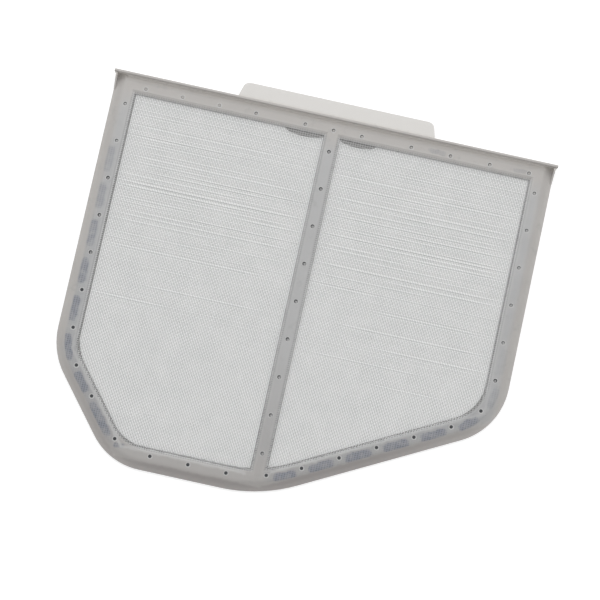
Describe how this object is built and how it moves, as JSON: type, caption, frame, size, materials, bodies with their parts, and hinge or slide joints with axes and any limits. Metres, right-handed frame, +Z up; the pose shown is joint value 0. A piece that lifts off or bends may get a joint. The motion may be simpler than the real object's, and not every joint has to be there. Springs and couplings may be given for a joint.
{
  "type": "tumble dryer lint filter",
  "caption": "Flat moulded lint filter for a tumble dryer: a rounded asymmetric frame round a woven screen, with a centre bar, a cap along the top edge and a finger tab.",
  "frame": {"origin": "middle of the outline seen from above, on the flat underside", "axes": "+X along the cap, to the right as seen from the lint side; +Y towards the cap and its finger tab; +Z up out of the lint side, square to the screen"},
  "size_m": [0.3362, 0.2976, 0.0095],
  "materials": {
    "frame_plastic": "satin moulded polypropylene, pale warm grey",
    "screen_weave": "plain weave of clear monofilament, pale grey"
  },
  "bodies": {
    "root": {"frame": "frame_plastic", "mesh_screen": "screen_weave"}
  },
  "joints": []
}
